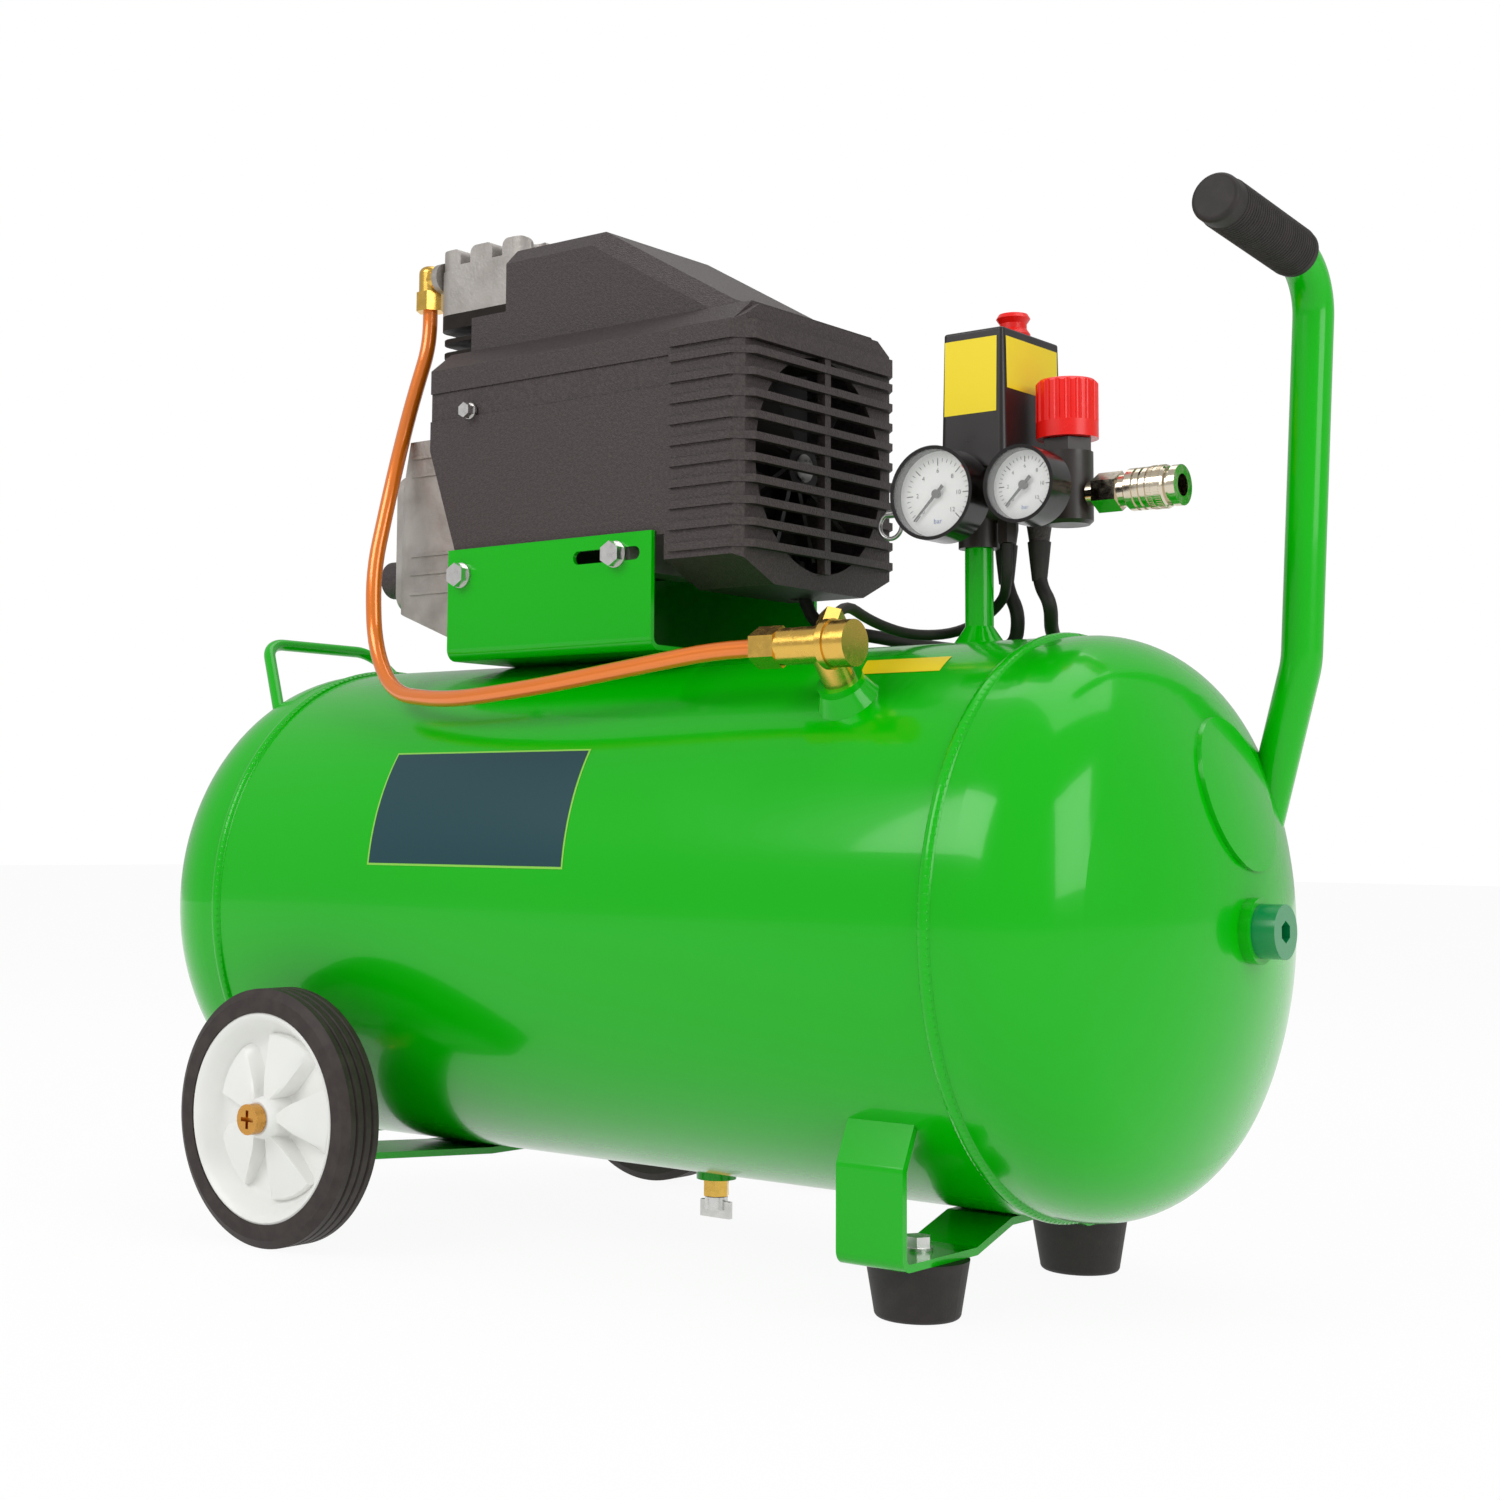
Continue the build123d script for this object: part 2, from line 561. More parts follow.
# ---------------------------------------------------------------- saddle and its bolts
def saddle():
    """U-shaped carrier with a round hole at the pump and a slot at the motor."""
    inner, outer = SADDLE_INNER_Y, SADDLE_INNER_Y + SADDLE_PLATE
    points = [(0, -inner - SADDLE_PLATE / 2, SADDLE_TOP_Z), (0, -inner - SADDLE_PLATE / 2, SADDLE_BASE_Z + 1.5),
              (0, inner + SADDLE_PLATE / 2, SADDLE_BASE_Z + 1.5), (0, inner + SADDLE_PLATE / 2, SADDLE_TOP_Z)]
    path = FilletPolyline(*points, radius=6)
    start = Plane(origin=path @ 0, x_dir=(1, 0, 0), z_dir=path % 0)
    width = SADDLE_X1 - SADDLE_X0
    channel = Pos((SADDLE_X0 + SADDLE_X1) / 2, 0, 0) * sweep(start * Rectangle(width, SADDLE_PLATE), path=path)
    x, z = PUMP_BOLT
    channel -= rod((x, -outer - 1, z), (x, outer + 1, z), BOLT_R)
    slot = Plane.XZ * Pos(SLOT_MIDDLE_X, MOTOR_BOLT[1]) * SlotOverall(SLOT_LENGTH, 2 * BOLT_R)
    channel -= extrude(slot, outer + 1, both=True)
    return channel - tank_cylinder()


def hex_bolts():
    """Zinc-plated bolts: pump and motor bolts, shroud screws, foot screws and head bolts."""
    face = SADDLE_INNER_Y + SADDLE_PLATE
    bolts = []
    for x, z in (PUMP_BOLT, MOTOR_BOLT):
        for side in (-1, 1):
            bolts.append(flange_bolt((x, side * face, z), (0, -side, 0), 20))
    for side in (-1, 1):
        x, z = SHROUD_SCREW
        bolts.append(flange_bolt((x, side * SHROUD_HALF, z), (0, -side, 0), 14, radius=2.6))
    for y in (-FOOT_Y, FOOT_Y):
        bolts.append(flange_bolt((FOOT_X, y, FOOT_HEIGHT + STRIP), (0, 0, -1), 20, radius=FOOT_SCREW_R))
    for dx in (-STUD_DX, STUD_DX):
        for dy in (-STUD_DY, STUD_DY):
            seat = (CYL_X + dx, dy, HEAD_BASE_TOP)
            bolts.append(flange_bolt(seat, (0, 0, -1), HEAD_BASE_TOP - CYL_TOP + 8, radius=STUD_R))
    return bolts


# ---------------------------------------------------------------- pump
def rounded_slab(half, corner, z0, z1):
    """Square slab with round corners on the cylinder's axis."""
    section = RectangleRounded(2 * half, 2 * half, corner)
    return Pos(CYL_X, 0, z0) * extrude(section, z1 - z0)


def studs(z0, z1, radius):
    bars = []
    for dx in (-STUD_DX, STUD_DX):
        for dy in (-STUD_DY, STUD_DY):
            bars.append(rod((CYL_X + dx, dy, z0), (CYL_X + dx, dy, z1), radius))
    return bars


def crankcase():
    """Cast case: crank chamber and sump, main bearing seat, motor flange and lugs."""
    left_top = CASE_X0 + 12
    outline = [(CASE_X0, CASE_LEFT_BOTTOM), (CASE_X0, CASE_DECK - 60), (left_top, CASE_DECK),
               (CASE_X1, CASE_DECK), (CASE_X1, CASE_BOTTOM + 8), (CASE_X1 - 12, CASE_BOTTOM),
               (CASE_X0 + 56, CASE_BOTTOM)]
    case = prism_y(outline, -CASE_HALF, CASE_HALF)
    plan = RectangleRounded(CASE_X1 - CASE_X0, 2 * CASE_HALF, CASE_CORNER)
    case &= Pos((CASE_X0 + CASE_X1) / 2, 0, CASE_BOTTOM) * extrude(plan, CASE_DECK - CASE_BOTTOM)
    fin_half = CASE_HALF - 4
    for y in range(-48, 49, 12):
        case -= block(CASE_X0 - 1, CASE_X1 - 14, y - 3, y + 3, CASE_BOTTOM - 1, CASE_BOTTOM + 6)
    for z in (402.0, 415.0, 427.0, 480.0, 492.0):
        rib = block(CASE_X0 + 14, CASE_X1 - 10, -CASE_HALF - 1.2, CASE_HALF + 1.2, z - 1, z + 1)
        case += rib
    chamber = rod((CASE_X0 - 1, 0, CRANK_Z), (CASE_X1 - 22, 0, CRANK_Z), CHAMBER_R)
    sump = block(CASE_X0 + 3, CASE_X1 - 22, -CHAMBER_R, CHAMBER_R, CASE_LEFT_BOTTOM + 6, CRANK_Z)
    sump &= prism_y([(CASE_X0 + 3, 410), (CASE_X0 + 3, CRANK_Z), (CASE_X1, CRANK_Z),
                     (CASE_X1, CASE_BOTTOM + 18), (CASE_X0 + 60, CASE_BOTTOM + 18)], -fin_half, fin_half)
    case -= chamber + sump
    flange_x = CASE_X1 + 2
    case += rod((CASE_X1 - 6, 0, CRANK_Z), (flange_x, 0, CRANK_Z), SPIGOT_R1)
    spigot = rod((flange_x, 0, CRANK_Z), (STATOR_X0, 0, CRANK_Z), SPIGOT_R1)
    case += spigot - rod((flange_x, 0, CRANK_Z), (STATOR_X0, 0, CRANK_Z), SPIGOT_R0)
    case -= rod((CASE_X1 - 5 - BEARING_WIDTH, 0, CRANK_Z), (CASE_X1 - 5, 0, CRANK_Z), BEARING_R)
    case -= rod((CASE_X0, 0, CRANK_Z), (STATOR_X0, 0, CRANK_Z), SHAFT_R + 4)
    case -= rod((CYL_X, 0, CRANK_Z), (CYL_X, 0, CASE_DECK + 1), CYL_SLEEVE_R)
    x, z = PUMP_BOLT
    case += both_sides(rod((x, CASE_HALF - 2, z), (x, SADDLE_INNER_Y, z), 9))
    case -= rod((x, -SADDLE_INNER_Y, z), (x, -SADDLE_INNER_Y + 17, z), BOLT_R)
    case -= rod((x, SADDLE_INNER_Y, z), (x, SADDLE_INNER_Y - 17, z), BOLT_R)
    x, z = SHROUD_SCREW
    lug = block(x - 7, x + 7, 48, CASE_HALF, CASE_DECK - 8, z + 7)
    lug += rod((x, CASE_HALF - 4, z), (x, SHROUD_HALF - WALL, z), 6.5)
    lug -= rod((x, SHROUD_HALF - WALL, z), (x, SHROUD_HALF - 14, z), 2.6)
    return case + both_sides(lug)


def crankcase_cover():
    """Cast end cover with a raised round centre."""
    x1 = CASE_X0
    cover = extrude(Plane.YZ.offset(x1 - 6) * Pos(0, 438) * RectangleRounded(104, 92, 12), 6)
    cover += rod((x1 - 14, 0, CRANK_Z - 14), (x1, 0, CRANK_Z - 14), 32)
    cover = fillet(cover.faces().sort_by(Axis.X)[0].edges(), 3)
    return cover - rod((x1 - 6, -38, 415), (x1, -38, 415), 9)


def oil_fittings():
    """Oil sight glass in the cover, and the filler cap with its breather on the deck."""
    x1 = CASE_X0
    glass = rod((x1 - 6, -38, 415), (x1, -38, 415), 9)
    glass += rod((x1 - 22, -38, 415), (x1 - 6, -38, 415), 12.5)
    glass -= rod((x1 - 22, -38, 415), (x1 - 19, -38, 415), 8)
    x, y = CYL_X - 20, CYL_HALF + 8.5
    filler = rod((x, y, CASE_DECK), (x, y, CASE_DECK + 12), 5)
    filler += rod((x, y, CASE_DECK + 12), (x, y, CASE_DECK + 26), 7.5)
    return [glass, filler]


def cylinder():
    """Finned cast-iron cylinder with a spigot in the case."""
    body = rod((CYL_X, 0, CASE_DECK - 6), (CYL_X, 0, CYL_TOP), CYL_SLEEVE_R)
    body += rounded_slab(CYL_HALF - 3, CYL_CORNER, CASE_DECK, CASE_DECK + 8)
    z = CASE_DECK + 8 + FIN_PITCH - FIN
    while z < CYL_TOP - 10 - FIN:
        body += rounded_slab(CYL_HALF - 1, CYL_CORNER, z, z + FIN)
        z += FIN_PITCH
    body += rounded_slab(CYL_HALF, CYL_CORNER, CYL_TOP - 10, CYL_TOP)
    body -= rod((CYL_X, 0, CASE_DECK - 7), (CYL_X, 0, CYL_TOP + 1), BORE_R)
    for bar in studs(CYL_TOP - 8, CYL_TOP, STUD_R):
        body -= bar
    return body


def valve_plate():
    plate = rounded_slab(CYL_HALF, CYL_CORNER, CYL_TOP, PLATE_TOP)
    for bar in studs(CYL_TOP, PLATE_TOP, STUD_R):
        plate -= bar
    for dy in (-11, 11):
        plate -= rod((CYL_X, dy, CYL_TOP), (CYL_X, dy, PLATE_TOP), 4)
    return plate


def cylinder_head():
    """Cast head with three broad rounded ribs and an inlet and an outlet chamber."""
    head = rounded_slab(CYL_HALF, CYL_CORNER, PLATE_TOP, HEAD_BASE_TOP)
    ribs = Part()
    for dx in (-HEAD_RIB_PITCH, 0, HEAD_RIB_PITCH):
        x = CYL_X + dx
        rib = block(x - HEAD_RIB / 2, x + HEAD_RIB / 2, -CYL_HALF, CYL_HALF, HEAD_BASE_TOP - 2, HEAD_TOP)
        ribs += fillet(rib.faces().sort_by(Axis.Z)[-1].edges().filter_by(Axis.Y), 5)
    crown = rounded_slab(CYL_HALF - 0.5, CYL_CORNER, HEAD_BASE_TOP - 2, HEAD_BASE_TOP + 3)
    crown += rounded_slab(CYL_HALF - 0.5, CYL_CORNER, HEAD_BASE_TOP, HEAD_TOP) & ribs
    for bar in studs(HEAD_BASE_TOP, HEAD_TOP, 10):
        crown -= bar
    head += crown
    for bar in studs(PLATE_TOP, HEAD_BASE_TOP, STUD_R):
        head -= bar
    for y0, y1 in ((-37, -3), (3, 37)):
        head -= block(CYL_X - 22, CYL_X + 22, y0, y1, PLATE_TOP, PORT_Z - 2)
    face = CYL_X - CYL_HALF
    head += rod((face - BOSS, PORT_Y, PORT_Z), (face + 2, PORT_Y, PORT_Z), 10)
    head -= rod((face - BOSS, PORT_Y, PORT_Z), (CYL_X - 18, PORT_Y, PORT_Z), PORT_R)
    return head - rod((CYL_X, CYL_HALF / 2, PORT_Z), (CYL_X, CYL_HALF, PORT_Z), 4)


def intake_filter():
    """Round filter housing with slots, screwed into the back of the head."""
    y0 = CYL_HALF
    stub = rod((CYL_X, y0 - 4, PORT_Z), (CYL_X, y0 + 8, PORT_Z), 4)
    can = rod((CYL_X, y0 + 6, PORT_Z), (CYL_X, y0 + 36, PORT_Z), 25)
    can = chamfer(can.faces().sort_by(Axis.Y)[-1].edges(), 4)
    for turn in range(0, 360, 30):
        slot = block(-2, 2, y0 + 12, y0 + 26, 21, 27)
        can -= Pos(CYL_X, 0, PORT_Z) * Rot(0, turn, 0) * slot
    return stub + can


def crank():
    """Overhung crank: hub on the motor shaft, web with counterweight, and the pin."""
    x0, x1 = CRANK_WEB_X0, CRANK_WEB_X1
    web = rod((x0, 0, CRANK_Z), (x1, 0, CRANK_Z), 16)
    web += rod((x0, 0, CRANK_Z + THROW), (x1, 0, CRANK_Z + THROW), CRANKPIN_R + 3)
    weight = rod((x0, 0, CRANK_Z), (x1, 0, CRANK_Z), CHAMBER_R - 3)
    web += weight & block(x0, x1, -40, 40, CRANK_Z - 40, CRANK_Z - 4)
    web += rod((CYL_X - ROD_WIDTH / 2 - 2, 0, CRANK_Z + THROW), (x0, 0, CRANK_Z + THROW), CRANKPIN_R)
    return web - rod((x0 + 1, 0, CRANK_Z), (x1, 0, CRANK_Z), SHAFT_R + RUN)


def con_rod():
    x0, x1 = CYL_X - ROD_WIDTH / 2, CYL_X + ROD_WIDTH / 2
    low, high = CRANK_Z + THROW, CRANK_Z + THROW + ROD_LENGTH
    body = rod((x0, 0, low), (x1, 0, low), CRANKPIN_R + 6) + rod((x0, 0, high), (x1, 0, high), WRIST_PIN_R + 5)
    body += prism_x([(-9, low + 4), (9, low + 4), (6, high), (-6, high)], x0 + 2, x1 - 2)
    body -= rod((x0, 0, low), (x1, 0, low), CRANKPIN_R + RUN)
    return body - rod((x0, 0, high), (x1, 0, high), WRIST_PIN_R + RUN)


def piston():
    """Piston with two ring grooves, and its wrist pin."""
    pin_z = CRANK_Z + THROW + ROD_LENGTH
    top = pin_z + PISTON_CROWN
    skin = rod((CYL_X, 0, pin_z - PISTON_SKIRT), (CYL_X, 0, top), BORE_R - RUN)
    skin -= rod((CYL_X, 0, pin_z - PISTON_SKIRT), (CYL_X, 0, top - 6), BORE_R - 4)
    for z in (top - 5, top - 10):
        skin -= rod((CYL_X, 0, z - 1), (CYL_X, 0, z + 1), BORE_R + 1) - rod((CYL_X, 0, z - 2), (CYL_X, 0, z + 2), BORE_R - 2)
    boss = rod((CYL_X - 19, 0, pin_z), (CYL_X + 19, 0, pin_z), WRIST_PIN_R + 4)
    boss -= block(CYL_X - ROD_WIDTH / 2 - 1, CYL_X + ROD_WIDTH / 2 + 1, -20, 20, pin_z - 20, pin_z + 12)
    skin += boss
    half = WRIST_PIN_LENGTH / 2
    pin = rod((CYL_X - half, 0, pin_z), (CYL_X + half, 0, pin_z), WRIST_PIN_R)
    skin -= rod((CYL_X - 30, 0, pin_z), (CYL_X + 30, 0, pin_z), WRIST_PIN_R + 0.02)
    return [skin, pin]


# ---------------------------------------------------------------- motor
def stator():
    """Laminated stack with the windings' end turns."""
    bore = ROTOR_R + AIR_GAP
    stack = rod((STATOR_X0, 0, CRANK_Z), (STATOR_X1, 0, CRANK_Z), STATOR_R)
    for x0, x1 in ((STATOR_X0 - 8, STATOR_X0), (STATOR_X1, STATOR_X1 + 9)):
        stack += rod((x0, 0, CRANK_Z), (x1, 0, CRANK_Z), 54)
    return stack - rod((STATOR_X0 - 9, 0, CRANK_Z), (STATOR_X1 + 10, 0, CRANK_Z), bore)


def rotor():
    body = rod((STATOR_X0, 0, CRANK_Z), (STATOR_X1, 0, CRANK_Z), ROTOR_R)
    return body + rod((SHAFT_X0 + GAP, 0, CRANK_Z), (SHAFT_X1, 0, CRANK_Z), SHAFT_R)


def fan():
    """Axial cooling fan: hub, back disc and pitched blades."""
    wheel = rod((-10, 0, 0), (11, 0, 0), 15) + rod((-10, 0, 0), (-7, 0, 0), 32)
    for number in range(FAN_BLADES):
        blade = Pos(0, 0, (13 + FAN_R) / 2) * Rot(0, 0, 35) * Box(22, 2.2, FAN_R - 13)
        wheel += Rot(360 * number / FAN_BLADES, 0, 0) * blade
    wheel -= rod((-11, 0, 0), (12, 0, 0), SHAFT_R)
    return Pos(FAN_X, 0, CRANK_Z) * wheel


def end_shield():
    """Cast end shield: spigot on the stator, bearing housing and a foot bar to the saddle."""
    shield = rod((SHIELD_X0, 0, CRANK_Z), (SHIELD_X1, 0, CRANK_Z), SPIGOT_R1)
    ring = rod((STATOR_X1, 0, CRANK_Z), (SHIELD_X0, 0, CRANK_Z), SPIGOT_R1)
    shield += ring - rod((STATOR_X1, 0, CRANK_Z), (SHIELD_X0, 0, CRANK_Z), SPIGOT_R0)
    shield += rod((SHIELD_X0, 0, CRANK_Z), (SHIELD_HUB_X1, 0, CRANK_Z), BEARING_R + 4)
    x, z = MOTOR_BOLT
    foot = block(x - 9, x + 9, -66, 66, z - 9, z + 8) + both_sides(rod((x, 60, z), (x, SADDLE_INNER_Y, z), 8))
    shield += foot
    shield -= rod((x, -SADDLE_INNER_Y, z), (x, -SADDLE_INNER_Y + 17, z), BOLT_R)
    shield -= rod((x, SADDLE_INNER_Y, z), (x, SADDLE_INNER_Y - 17, z), BOLT_R)
    for turn in range(0, 360, 45):
        window = block(SHIELD_X0 - 1, SHIELD_X1 + 1, -8, 8, 30, 50)
        if turn != 180:
            shield -= Pos(0, 0, CRANK_Z) * Rot(turn, 0, 0) * window
    shield -= rod((SHIELD_X0 + 1, 0, CRANK_Z), (SHIELD_X0 + 1 + BEARING_WIDTH, 0, CRANK_Z), BEARING_R)
    return shield - rod((SHIELD_X0 - 1, 0, CRANK_Z), (SHIELD_HUB_X1 + 1, 0, CRANK_Z), SHAFT_R + 2)


def bearings():
    rings = []
    for x in (CASE_X1 - 5 - BEARING_WIDTH, SHIELD_X0 + 1):
        ring = rod((x, 0, CRANK_Z), (x + BEARING_WIDTH, 0, CRANK_Z), BEARING_R)
        rings.append(ring - rod((x, 0, CRANK_Z), (x + BEARING_WIDTH, 0, CRANK_Z), SHAFT_R + RUN))
    return rings


# ---------------------------------------------------------------- shroud and fan guard
def shroud_section(inset):
    half, roof = SHROUD_HALF - inset, ROOF_HALF - 0.6 * inset
    low = SHROUD_LOW - (20 if inset else 0)
    shoulder, top = SHROUD_SHOULDER - 0.4 * inset, SHROUD_ROOF - inset
    return [(-half, low), (-half, shoulder), (-roof, top), (roof, top), (half, shoulder), (half, low)]


def belly_section(inset):
    half, low_half = SHROUD_HALF - inset, BELLY_HALF - 0.4 * inset
    top = SHROUD_LOW + (2 if inset else 0.0)
    return [(-half, top), (-half, BELLY_SHOULDER + 0.5 * inset), (-low_half, BELLY_LOW + inset),
            (low_half, BELLY_LOW + inset), (half, BELLY_SHOULDER + 0.5 * inset), (half, top)]


def shroud_block(inset):
    """Raised air duct on the roof, with bevelled long edges."""
    half, top = ROOF_HALF - inset, BLOCK_TOP - inset
    base = SHROUD_ROOF - 8
    outline = [(BLOCK_X0 - inset, base), (BLOCK_X0 - inset, BLOCK_STEP - inset),
               (BLOCK_X1 + (-inset if inset else 0), BLOCK_STEP - inset), (BLOCK_X1 - inset, top),
               (BLOCK_X2 - 0.3 * inset, top), (BLOCK_X3 - 0.4 * inset, SHROUD_ROOF + 6 - inset),
               (BLOCK_X4 - inset, base)]
    duct = prism_y(outline, -half, half)
    edges = [e for e in duct.edges()
             if abs(abs(e.center().Y) - half) < 0.01 and e.center().Z > SHROUD_ROOF + 20 and e.length > 60]
    return chamfer(edges, BLOCK_BEVEL)


def shroud():
    """Moulded motor shroud, open at the pump end, below and at the fan end."""
    outer = prism_x(shroud_section(0), SHROUD_X0, SHROUD_X1) + shroud_block(0)
    outer += prism_x(belly_section(0), BELLY_X0, SHROUD_X1)
    inner = prism_x(shroud_section(WALL), SHROUD_X0 - 1, SHROUD_X1 + 1) + shroud_block(WALL)
    floor = prism_x(belly_section(WALL), BELLY_X0 + WALL, SHROUD_X1 + 1)
    keep = prism_x(belly_section(0), BELLY_X0, SHROUD_X1 + 1) - floor
    inner = inner - keep
    body = outer - inner - floor
    for side in (-1, 1):
        y0, y1 = sorted((side * (SHROUD_HALF - 1.2), side * (SHROUD_HALF + 1)))
        body -= block(SHROUD_X0 - 1, RIB_START_X, y0, y1, GROOVE_Z0, GROOVE_Z1)
    slant = [(SHROUD_X0 - 1, SHROUD_LOW - 1), (SHROUD_X0 - 1, 490), (SHROUD_X0, 490), (SHROUD_X0 + 25, SHROUD_LOW - 1)]
    body -= prism_y(slant, -SHROUD_HALF - 1, SHROUD_HALF + 1)
    body -= block(SHROUD_X0 - 1, BLOCK_X1, -CYL_HALF - 3.5, CYL_HALF + 3.5, SHROUD_ROOF - 12, BLOCK_TOP)
    x, z = SHROUD_SCREW
    body -= rod((x, -SHROUD_HALF - 1, z), (x, SHROUD_HALF + 1, z), 2.6)
    x, y, _ = MOTOR_CABLE_ROUTE[0]
    return body - rod((x, y, BELLY_LOW - 1), (x, y, BELLY_LOW + 2 * WALL), CABLE_HOLE_R)


def fan_guard():
    """Ribbed end grille: each rib runs across the front and wraps both corners."""
    half, plate_x = SHROUD_HALF, SHROUD_X1 + GUARD_PLATE
    outline = [(-half, BELLY_SHOULDER), (-half, SHROUD_SHOULDER), (-ROOF_HALF, SHROUD_ROOF - 3),
               (ROOF_HALF, SHROUD_ROOF - 3), (half, SHROUD_SHOULDER), (half, BELLY_SHOULDER),
               (BELLY_HALF, BELLY_LOW), (-BELLY_HALF, BELLY_LOW)]
    plate = prism_x(outline, SHROUD_X1, plate_x)
    corner = half - GUARD_PLATE
    plate &= prism_z([(SHROUD_X1, -half), (plate_x, -corner), (plate_x, corner), (SHROUD_X1, half)], 380, 560)
    plate -= rod((SHROUD_X1 - 1, 0, CRANK_Z), (plate_x + 1, 0, CRANK_Z), GUARD_OPENING_R)
    wide = half + RIB_PROUD
    front = GUARD_FRONT
    bend = front - 11
    rib = [(RIB_START_X, -wide), (bend, -wide), (front, -wide + 11), (front, wide - 11), (bend, wide),
           (RIB_START_X, wide), (RIB_START_X, half), (SHROUD_X1, half), (plate_x, corner),
           (plate_x, -corner), (SHROUD_X1, -half), (RIB_START_X, -half)]
    guard = plate
    for number in range(RIBS):
        z = RIB_LOW_Z + RIB_PITCH * number
        guard += prism_z(rib, z, z + RIB_HEIGHT)
    guard += prism_z(rib, SHROUD_SHOULDER - 11, SHROUD_SHOULDER)
    return guard + block(plate_x - 2, front - 1.5, 0, 6, CRANK_Z - GUARD_OPENING_R, CRANK_Z + GUARD_OPENING_R)


# ---------------------------------------------------------------- delivery pipe and check valve
def hand_path(points):
    """Straight runs between the points, with the widest arcs that fit, and the arcs' radii."""
    radii = []
    for before, here, after in zip(points, points[1:], points[2:]):
        arriving, leaving = Vector(*here) - Vector(*before), Vector(*after) - Vector(*here)
        turn = radians(arriving.get_angle(leaving))
        radii.append(0.45 * min(arriving.length, leaving.length) / tan(turn / 2))
    return FilletPolyline(*points, radius=radii), radii


def tube_along(name, points, radius):
    """Plain round cord or pipe along a route; prints its radii and compares its volume."""
    path, radii = hand_path(points)
    tube = bar_along(path, Circle(radius))
    share = tube.volume / (pi * radius ** 2 * path.length)
    print(f"{name}: length {path.length:.0f}, radii {[round(r) for r in radii]}, volume share {share:.4f}")
    return tube


def valve_point(offset):
    """Point at an offset (x, y, z) from the middle of the check valve."""
    middle = valve_axis(VALVE_CENTRE)
    return tuple(m + o for m, o in zip(middle, offset))


def along_unloader(distance):
    """Point on the axis of the check valve's unloader port."""
    return valve_point(tuple(distance * u for u in UNLOADER_PORT))


def delivery_pipe():
    end = valve_point((VALVE_NUT_X0 + VALVE_NUT, 0, 0))
    before = valve_point((VALVE_NUT_X0 - 30, 0, 0))
    points = [(ELBOW_X, PORT_Y, ELBOW_NUT_TOP)] + DELIVERY_ROUTE + [before, end]
    path, radii = hand_path(points)
    print(f"delivery pipe: length {path.length:.0f}, radii {[round(r) for r in radii]}")
    return bar_along(path, Circle(PIPE_R)) - bar_along(path, Circle(PIPE_R - 1))


def discharge_elbow():
    """Brass elbow screwed into the head's port, with the pipe's union nut below."""
    face = CYL_X - CYL_HALF - BOSS
    body = rod((ELBOW_X, PORT_Y, ELBOW_NUT_TOP), (ELBOW_X, PORT_Y, PORT_Z + 10), 8)
    body = fillet(body.faces().sort_by(Axis.Z)[-1].edges(), 5)
    body += rod((ELBOW_X, PORT_Y, PORT_Z), (face, PORT_Y, PORT_Z), 7.5)
    body += rod((face, PORT_Y, PORT_Z), (face + 8, PORT_Y, PORT_Z), PORT_R)
    nut = hex_bar((ELBOW_X, PORT_Y, ELBOW_NUT_BOTTOM), (ELBOW_X, PORT_Y, ELBOW_NUT_TOP), 17)
    return [body, nut - rod((ELBOW_X, PORT_Y, ELBOW_NUT_BOTTOM - 1), (ELBOW_X, PORT_Y, ELBOW_NUT_TOP), PIPE_R)]


def check_valve():
    """Brass non-return valve: body along X, neck into the tank's bung, unloader port and nuts."""
    nut_x1 = VALVE_NUT_X0 + VALVE_NUT
    body = rod(valve_point((nut_x1, 0, 0)), valve_point((7, 0, 0)), 10)
    body += rod(valve_point((3, 0, 0)), valve_point((7, 0, 0)), 13.5)
    body += rod(valve_point((7, 0, 0)), valve_point((20, 0, 0)), 12.5)
    body += rod(valve_axis(VALVE_BUNG_TOP), valve_axis(VALVE_CENTRE), 9)
    body += rod(valve_axis(VALVE_BUNG_TOP - 12), valve_axis(VALVE_BUNG_TOP), 8)
    body += rod(valve_point((0, 0, 0)), along_unloader(UNLOADER_NUT_START), 6)
    nut = hex_bar(valve_point((VALVE_NUT_X0, 0, 0)), valve_point((nut_x1, 0, 0)), 20)
    nut -= rod(valve_point((VALVE_NUT_X0, 0, 0)), valve_point((nut_x1, 0, 0)), PIPE_R)
    small = hex_bar(along_unloader(UNLOADER_NUT_START), along_unloader(UNLOADER_NUT_START + 13), 13)
    small -= rod(along_unloader(UNLOADER_NUT_START), along_unloader(UNLOADER_NUT_START + 13), UNLOADER_R)
    return [body, nut, small]


def unloader_tube():
    ends = [along_unloader(UNLOADER_NUT_START + 30), along_unloader(UNLOADER_NUT_START)]
    return tube_along("unloader tube", [(UNLOADER_X, 0, 410)] + UNLOADER_ROUTE + ends, UNLOADER_R)


# ---------------------------------------------------------------- air controls
def manifold():
    """Cast manifold on the riser, with necks for the switch, the gauge and the unloader."""
    body = rod((MANIFOLD_X0, 0, AIR_Z), (MANIFOLD_X1, 0, AIR_Z), MANIFOLD_R)
    body += rod((RISER_X, 0, 408), (RISER_X, 0, AIR_Z), 11.5)
    body += rod((218, 0, AIR_Z), (218, 0, SWITCH_Z0), 10)
    body += rod((TANK_GAUGE_X, 0, AIR_Z), (TANK_GAUGE_X, GAUGE_BACK_Y, AIR_Z), 6)
    body += hex_bar((UNLOADER_X, 0, 410), (UNLOADER_X, 0, AIR_Z), 10)
    body -= rod((RISER_X, 0, 408), (RISER_X, 0, RISER_TOP), RISER_R)
    return body - rod((MANIFOLD_X0, 0, AIR_Z), (MANIFOLD_X1, 0, AIR_Z), 5)


